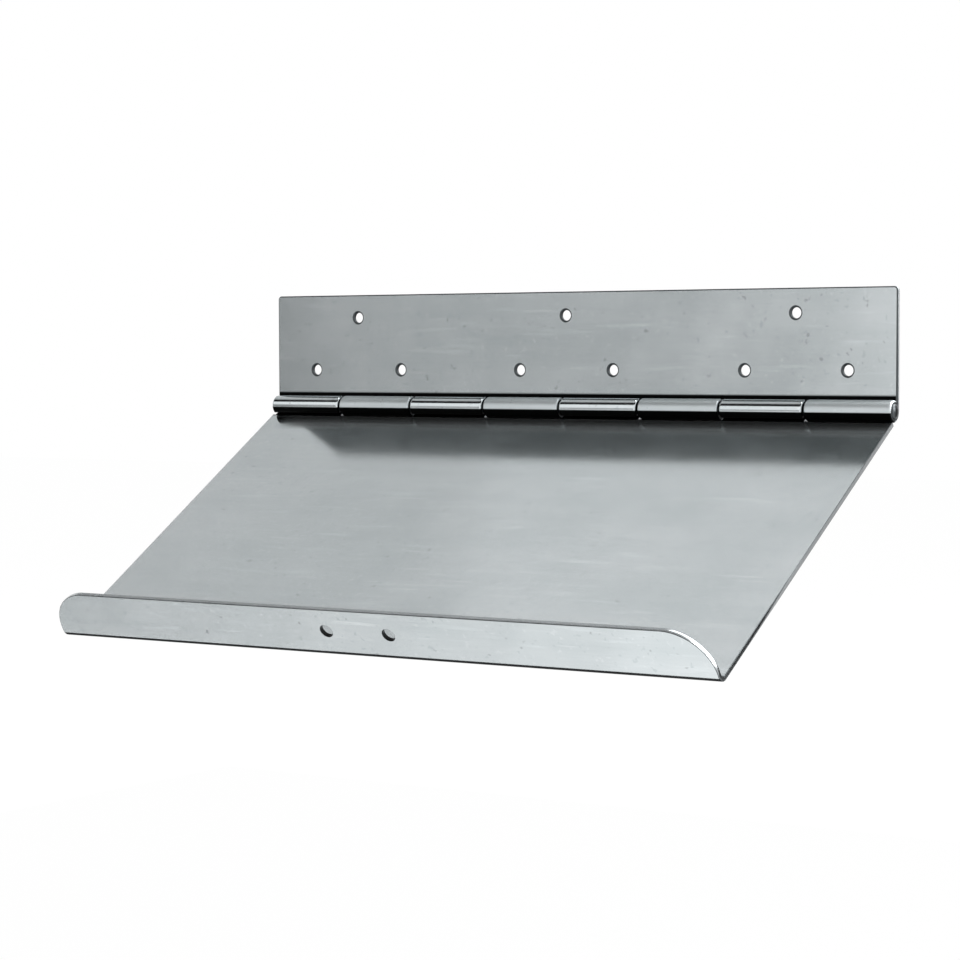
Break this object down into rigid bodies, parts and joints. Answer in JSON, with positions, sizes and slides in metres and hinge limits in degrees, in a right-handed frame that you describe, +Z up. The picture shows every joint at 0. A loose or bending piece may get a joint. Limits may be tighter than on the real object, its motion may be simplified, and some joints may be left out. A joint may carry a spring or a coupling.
{
  "type": "boat trim tab",
  "caption": "Boat trim tab of bent stainless sheet: an upright drilled transom leaf, hinged by rolled knuckles on a long pin to a sloping plate with an upturned trailing flange.",
  "frame": {"origin": "on the leaf's flat back face, at mid-width, level with the lower row of screw holes", "axes": "+X along the hinge, +Y out of the leaf's back face into the transom, +Z up"},
  "size_m": [0.3059, 0.1572, 0.1405],
  "materials": {
    "leaf_steel": "satin",
    "plate_steel": "satin",
    "pin_steel": "drawn bright"
  },
  "bodies": {
    "leaf": {"transom_leaf": "leaf_steel", "hinge_pin": "pin_steel"},
    "tab": {"tab_plate": "plate_steel"}
  },
  "joints": [
    {"name": "tab_hinge", "type": "hinge", "parent": "leaf", "child": "tab", "pos_m": [0, -0.00443, -0.016], "axis": [-1, 0, 0], "range_deg": [-58, 110]}
  ]
}
